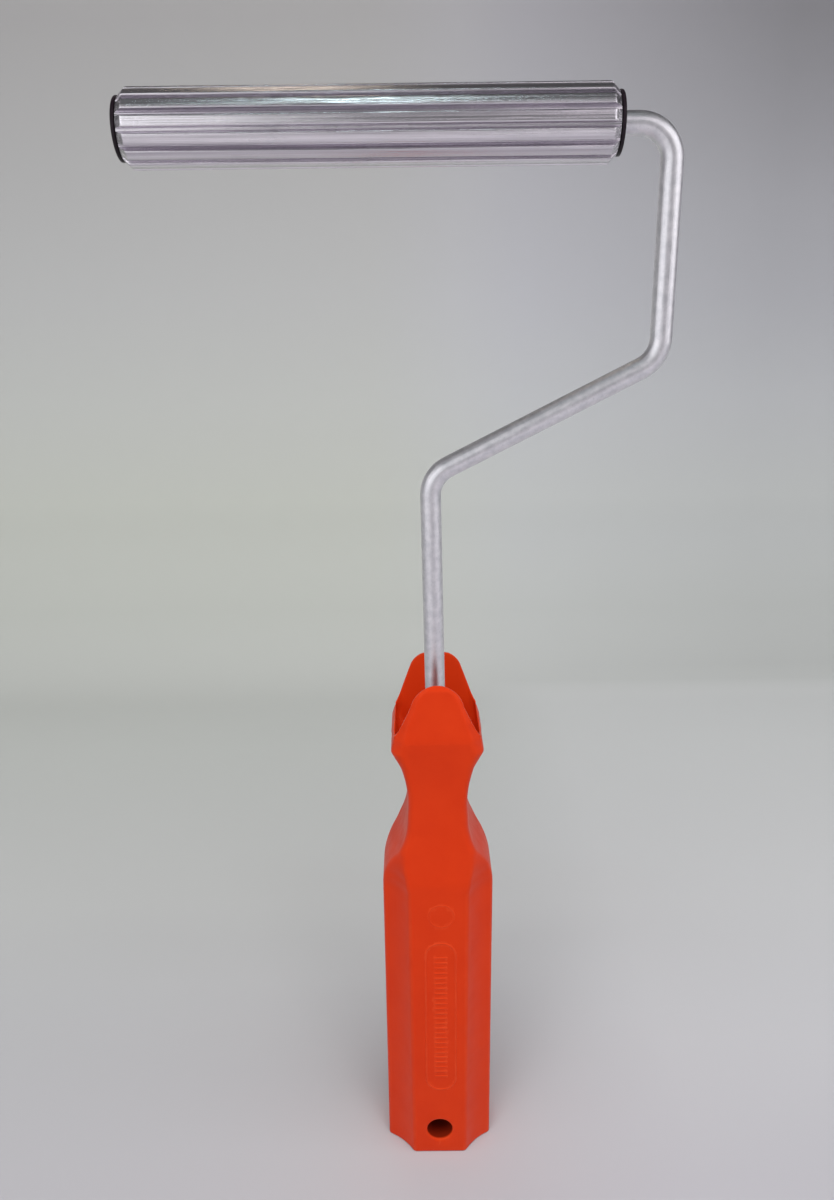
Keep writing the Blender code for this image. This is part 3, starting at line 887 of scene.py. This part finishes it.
def roller_aluminium():
    """Satin extruded aluminium: long fine extrusion lines, broad lighter and darker streaks along the tube,
    dull patches.
    """
    s = Surface("aluminium", (0.78, 0.78, 0.80), 0.30, 1.0)
    long_place = s.stretched(s.place, (0.005, 1.0, 1.0))
    lines = s.noise(2400.0, 3.0, long_place)
    broad = s.noise(900.0, 4.0, s.stretched(s.place, (0.008, 1.0, 1.0)))
    patches = s.noise(60.0, 5.0)
    base = s.mix(s.remap(broad, 0.35, 0.65, 0.0, 1.0), (0.56, 0.53, 0.58, 1), (0.92, 0.88, 0.94, 1))
    base = s.mix(s.remap(patches, 0.5, 0.75, 0.0, 0.4), base, (0.60, 0.58, 0.62, 1))
    s.color(base)
    rough = s.remap(broad, 0.3, 0.7, 0.17, 0.29)
    s.rough(s.math("ADD", rough, s.remap(patches, 0.3, 0.7, -0.02, 0.04)))
    s.bump(lines, 0.70, 0.00014)
    s.bump(broad, 0.50, 0.0002)
    return s.material


def black_plastic():
    """Satin black nylon with a trace of handling dust."""
    s = Surface("black_plastic", (0.010, 0.005, 0.009), 0.40)
    s.set(**{"Specular IOR Level": 0.25})
    dust = s.remap(s.noise(600.0, 6.0), 0.52, 0.75, 0.0, 0.5)
    s.color(s.mix(dust, (0.009, 0.004, 0.008, 1), (0.022, 0.014, 0.020, 1)))
    s.rough(s.remap(s.noise(300.0, 4.0), 0.3, 0.7, 0.34, 0.5))
    s.bump(s.noise(2400.0, 2.0), 0.12, 0.0001)
    return s.material


def spring_steel():
    """Plain stamped steel with tumbling marks."""
    s = Surface("spring_steel", (0.42, 0.42, 0.44), 0.34, 1.0)
    cloud = s.noise(500.0, 5.0)
    s.color(s.mix(s.remap(cloud, 0.35, 0.65, 0.0, 1.0), (0.36, 0.36, 0.38, 1), (0.50, 0.50, 0.51, 1)))
    s.rough(s.remap(s.noise(1400.0, 4.0), 0.3, 0.7, 0.28, 0.46))
    s.bump(s.noise(2000.0, 3.0), 0.2, 0.0001)
    return s.material


# --- stage --------------------------------------------------------------------------------------
def backdrop_material():
    """Matt paper, its light and shade painted in: palest low on the wall, on the floor and in front, dim to
    the right, dark high overhead.
    """
    s = Surface("backdrop_paper", (0.52, 0.52, 0.52), 0.85)
    split = s.node("ShaderNodeSeparateXYZ", {"Vector": s.place})
    x, y, z = (split.outputs[axis] for axis in "XYZ")
    # painted light: the wall's brightness rises and falls with height
    wall = s.ramp(s.remap(z, 0.0, 0.5, 0.0, 1.0), (
        (0.00, (0.545, 0.560, 0.540)), (0.09, (0.517, 0.534, 0.503)), (0.27, (0.573, 0.590, 0.548)),
        (0.44, (0.543, 0.555, 0.537)), (0.60, (0.497, 0.502, 0.500)), (0.74, (0.449, 0.450, 0.450)),
        (1.00, (0.366, 0.360, 0.362)),
    ))
    # painted light: the floor's brightness changes from front to back
    ground = s.ramp(s.remap(y, -0.05, 0.42, 0.0, 1.0), (
        (0.00, (0.535, 0.527, 0.560)), (0.25, (0.560, 0.566, 0.580)), (0.41, (0.588, 0.598, 0.596)),
        (0.64, (0.577, 0.592, 0.580)), (0.80, (0.575, 0.593, 0.575)), (1.00, (0.545, 0.560, 0.540)),
    ))
    base = s.mix(s.remap(z, 0.0, 0.004, 0.0, 1.0), ground, wall)
    # painted shade: the right side is darkened, more so higher up
    shade = s.ramp(s.remap(z, 0.0, 0.5, 0.0, 1.0), tuple(
        (position, (amount,) * 3) for position, amount in
        ((0.0, 0.0), (0.02, 0.12), (0.27, 0.12), (0.44, 0.16), (0.60, 0.24), (0.74, 0.28), (1.0, 0.50))
    ))
    # painted cool cast of light towards the right
    cool = s.math("MULTIPLY", s.remap(x, -0.04, 0.08, 0.0, 1.0), s.remap(z, 0.0, 0.10, 0.3, 1.0))
    base = s.mix(cool, base, (1.01, 1.01, 1.08, 1), "MULTIPLY")
    dark = s.math("MULTIPLY", s.remap(x, 0.03, 0.28, 0.0, 1.0), shade)
    base = s.mix(dark, base, (0.05, 0.05, 0.053, 1))
    # painted light: a paler patch of floor to the right of the handle, lifting the handle's soft shadow there
    lit = s.math("MULTIPLY", s.remap(x, 0.03, 0.10, 0.0, 0.26), s.remap(z, 0.0, 0.004, 1.0, 0.0))
    lit = s.math("MULTIPLY", lit, s.remap(y, -0.03, 0.04, 0.35, 1.0))
    base = s.mix(lit, base, (0.80, 0.80, 0.82, 1))
    # painted light: the floor grows paler towards the front
    base = s.mix(s.remap(y, -0.60, -0.25, 0.60, 0.0), base, (0.86, 0.84, 0.86, 1))
    # painted shade: the wall goes dark high overhead
    s.color(s.mix(s.remap(z, 0.53, 0.85, 0.0, 0.88), base, (0.04, 0.04, 0.04, 1)))
    s.rough(s.remap(s.noise(60.0), 0.3, 0.7, 0.8, 0.9))
    return s.material


def add_backdrop():
    """Floor that sweeps up into a wall behind the object."""
    front_y, bend_y, radius, top_z, half_width = -2.5, 0.40, 0.12, 2.0, 2.5
    profile = [(front_y, 0.0), (bend_y, 0.0)]
    profile += [(bend_y + radius * sin(a), radius * (1 - cos(a))) for a in np.linspace(0, pi / 2, 17)[1:]]
    profile.append((bend_y + radius, top_z))
    below = 0.00015                            # keeps the floor clear of the handle's butt face
    points = [(x, y, z - below) for x in (-half_width, half_width) for y, z in profile]
    count = len(profile)
    mesh = bpy.data.meshes.new("backdrop")
    mesh.from_pydata(points, [], [(i, i + 1, i + 1 + count, i + count) for i in range(count - 1)])
    mesh.materials.append(backdrop_material())
    mesh.shade_smooth()
    add_object("backdrop", mesh)


def add_area_light(name, place, aim, size, energy, color):
    data = bpy.data.lights.new(name, "AREA")
    data.shape = "RECTANGLE"
    data.size, data.size_y = size
    data.energy = energy
    data.color = color
    lamp = bpy.data.objects.new(name, data)
    bpy.context.scene.collection.objects.link(lamp)
    lamp.location = place
    lamp.rotation_euler = (Vector(aim) - Vector(place)).to_track_quat("-Z", "Y").to_euler()
    return lamp


def add_room():
    """Soft surroundings: dim at eye level, palest half way up and to the sides, darkest overhead."""
    world = bpy.data.worlds.new("room")
    world.use_nodes = True
    nodes, links = world.node_tree.nodes, world.node_tree.links
    direction = nodes.new("ShaderNodeTexCoord")
    split = nodes.new("ShaderNodeSeparateXYZ")
    rise = nodes.new("ShaderNodeValToRGB")
    stops = rise.color_ramp.elements
    for position, level in ((0.22, 0.28), (0.42, 0.38), (0.66, 0.32), (0.80, 0.12)):
        stops.new(position).color = (0.98 * level, 0.99 * level, level, 1.0)
    for stop, level in ((stops[0], 0.20), (stops[-1], 0.09)):
        stop.color = (0.98 * level, 0.99 * level, level, 1.0)
    links.new(direction.outputs["Generated"], split.inputs["Vector"])
    links.new(split.outputs["Z"], rise.inputs["Fac"])
    links.new(rise.outputs["Color"], nodes["Background"].inputs["Color"])
    aside = nodes.new("ShaderNodeMath")
    aside.operation = "ABSOLUTE"
    links.new(split.outputs["X"], aside.inputs[0])
    brighter = nodes.new("ShaderNodeMapRange")
    for name, value in (("From Min", 0.10), ("From Max", 0.42), ("To Min", 0.70), ("To Max", 1.30)):
        brighter.inputs[name].default_value = value
    links.new(aside.outputs["Value"], brighter.inputs["Value"])
    links.new(brighter.outputs["Result"], nodes["Background"].inputs["Strength"])
    bpy.context.scene.world = world


def add_lights():
    """Broad soft boxes to the left and right, one higher up, a soft key, and two small lamps overhead."""
    middle, roller = (0.0, 0.0, 0.2), (-0.02, 0.0, 0.36)
    lights = (                                 # name, place, aim, size, watts, colour
        ("left_box", (-0.80, -0.80, 0.50), middle, (1.38, 0.85), 4.0, (0.98, 0.99, 1.0)),
        ("right_box", (1.00, -0.48, 0.62), middle, (0.92, 1.08), 4.0, (1.0, 0.985, 1.0)),
        ("key", (0.0, -0.55, 1.30), middle, (0.9, 0.6), 10.5, (1.0, 0.985, 0.97)),
        ("upper_box", (0.40, -0.95, 1.02), roller, (0.54, 0.58), 0.85, (1.0, 0.93, 0.98)),
        ("ceiling_lamp", (-0.07, -0.42, 1.28), roller, (0.14, 0.08), 0.40, (0.80, 1.0, 0.98)),
        ("rear_lamp", (-0.11, 0.34, 0.95), roller, (0.12, 0.06), 0.12, (1.0, 0.88, 0.70)),
    )
    lamps = {name: add_area_light(name, *settings) for name, *settings in lights}
    lamps["key"].visible_glossy = False        # its mirror image would wash out the roller's crests
    add_room()


def add_camera():
    """A little below the roller's height, looking down, with the wide lens that the perspective asks for."""
    place = (-0.00619, -0.311925, 0.320838)
    pitch_down, roll = 0.32077, -0.01247
    data = bpy.data.cameras.new("camera")
    data.sensor_fit = "VERTICAL"
    data.sensor_height = 24.0
    data.lens = 19.84
    data.clip_start = 0.01
    camera = bpy.data.objects.new("camera", data)
    bpy.context.scene.collection.objects.link(camera)
    turn = Matrix.Rotation(pi / 2 - pitch_down, 4, "X") @ Matrix.Rotation(roll, 4, "Z")
    camera.matrix_world = Matrix.Translation(place) @ turn
    bpy.context.scene.camera = camera
    bpy.context.scene.view_settings.view_transform = "Standard"


# --- assembly -----------------------------------------------------------------------------------
def build():
    zinc, spring, black, aluminium = zinc_wire(), spring_steel(), black_plastic(), roller_aluminium()
    orange = orange_plastic()
    handle = add_piece("handle_moulding", handle_mesh(), orange, "frame", "handle")
    crease_marks(handle.data)
    add_piece("cranked_wire", wire_mesh(), zinc, "frame", "frame_rod")
    add_piece("ribbed_tube", tube_mesh(), aluminium, "roller", "roller_tube", 0.6)
    for side, word in ((-1, "left"), (1, "right")):
        bush, washer = f"{word}_end_bush", f"{word}_retaining_washer"
        add_piece(f"{word}_flanged_bush", bush_mesh(side, bush), black, "roller", bush)
        add_piece(f"{word}_star_washer", washer_mesh(side, washer), spring, "frame", washer)


build()
add_backdrop()
add_lights()
add_camera()
